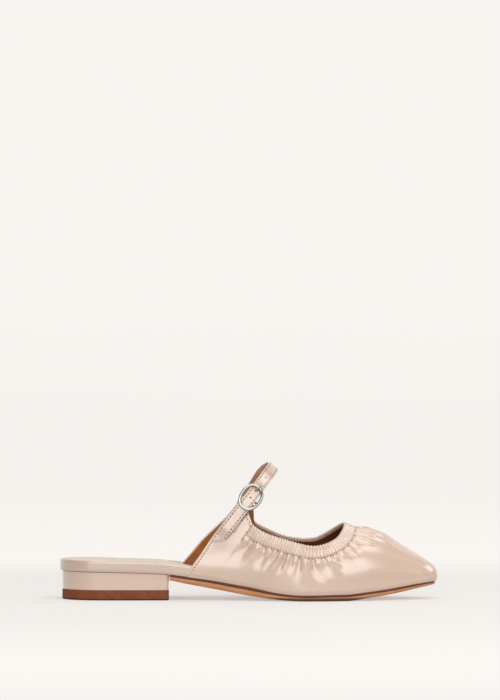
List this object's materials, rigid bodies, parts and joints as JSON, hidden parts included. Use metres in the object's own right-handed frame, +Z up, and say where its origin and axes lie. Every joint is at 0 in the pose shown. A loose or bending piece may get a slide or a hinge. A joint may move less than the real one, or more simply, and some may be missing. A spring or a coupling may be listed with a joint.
{
  "type": "mule shoe",
  "caption": "Right-foot leather mule with a gathered elastic topline, a buckled instep strap, a soft pointed toe and a low block heel.",
  "frame": {"origin": "on the floor, at the middle of the shoe's bounding box", "axes": "+X along the foot towards the toe, +Y towards the medial (inner) side, +Z up"},
  "size_m": [0.258, 0.0794, 0.0936],
  "materials": {
    "upper_leather": "smooth",
    "sole_leather": "satin",
    "sock_leather": "smooth",
    "top_piece_rubber": "matte",
    "buckle_metal": "polished"
  },
  "bodies": {
    "root": {"outsole": "sole_leather", "heel": "upper_leather", "heel_top_piece": "top_piece_rubber", "insole": "sock_leather", "heel_rand": "upper_leather", "upper": "upper_leather", "strap": "upper_leather", "buckle_tab": "upper_leather", "buckle_frame": "buckle_metal", "buckle_prong": "buckle_metal"}
  },
  "joints": []
}
